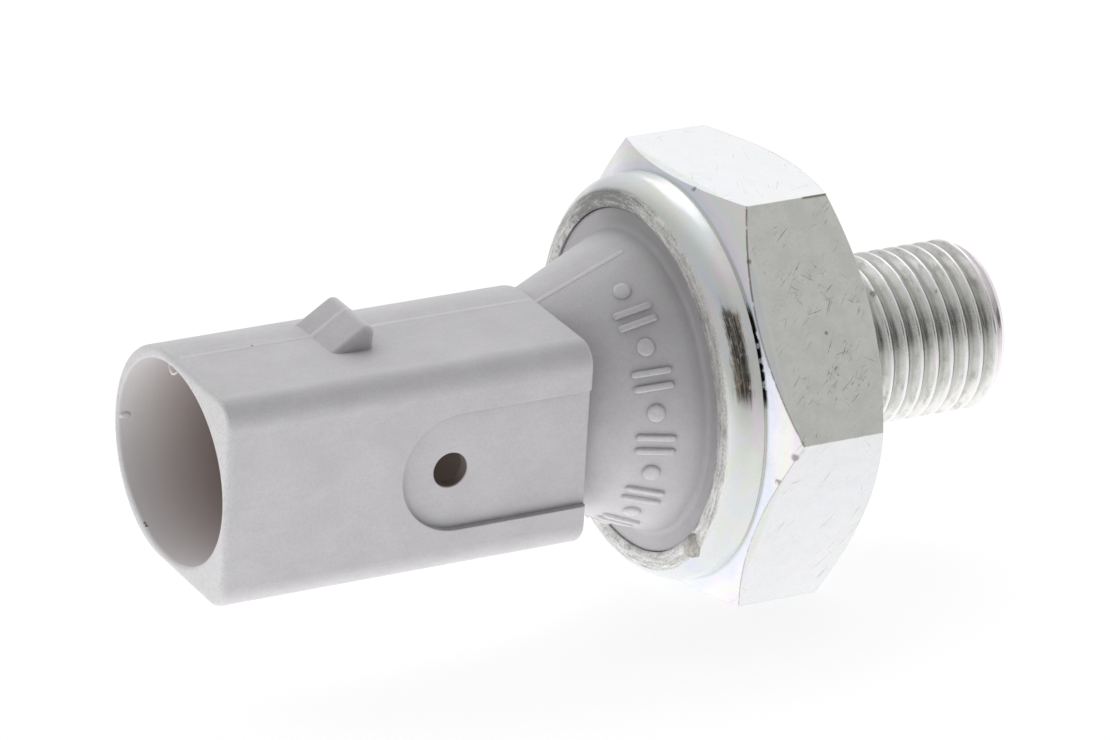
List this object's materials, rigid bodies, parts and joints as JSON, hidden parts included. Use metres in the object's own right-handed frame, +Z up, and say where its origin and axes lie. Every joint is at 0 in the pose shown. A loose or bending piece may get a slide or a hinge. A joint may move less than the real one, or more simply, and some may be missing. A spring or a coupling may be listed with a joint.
{
  "type": "oil pressure sender",
  "caption": "Oil pressure sender: zinc-plated hexagon body with a short fine thread and a rolled rim that holds a grey plug housing with a conical neck, latch ramp and flat blade.",
  "frame": {"origin": "centre of the seating face where the hexagon meets the thread", "axes": "+X along the axis towards the end of the thread, -X out of the plug socket, +Z up across two level flats of the hexagon"},
  "size_m": [0.0515, 0.0278, 0.024],
  "materials": {
    "zinc_plated_steel": "bright zinc plating with a faint rainbow tint, scratched on the flats",
    "grey_plastic": "moulded glass-filled plastic, satin",
    "seal_rubber": "smooth black rubber",
    "amber_film": "clear amber film",
    "plain_steel": "stamped steel",
    "dark_plastic": "moulded thermoset",
    "contact_brass": "bright stamped brass",
    "contact_silver": "polished silver",
    "spring_steel": "drawn spring wire",
    "tinned_brass": "tin-plated brass"
  },
  "bodies": {
    "switch": {"hex_body": "zinc_plated_steel", "housing": "grey_plastic", "port_seal": "seal_rubber", "housing_seal": "seal_rubber", "diaphragm_foil": "amber_film", "backing_foil": "amber_film", "earth_ring": "plain_steel", "contact_spring": "spring_steel", "spring_cup": "contact_brass", "terminal": "tinned_brass"},
    "contact_set": {"thrust_piece": "dark_plastic", "contact_plate": "contact_brass", "contact_buttons": "contact_silver"}
  },
  "joints": [
    {"name": "contact_travel", "type": "slide", "parent": "switch", "child": "contact_set", "axis": [-1, 0, 0], "range_m": [0, 0.0005], "stiffness_N_per_m": 1500, "springref_m": -0.003, "deforming": ["contact_spring"]}
  ]
}
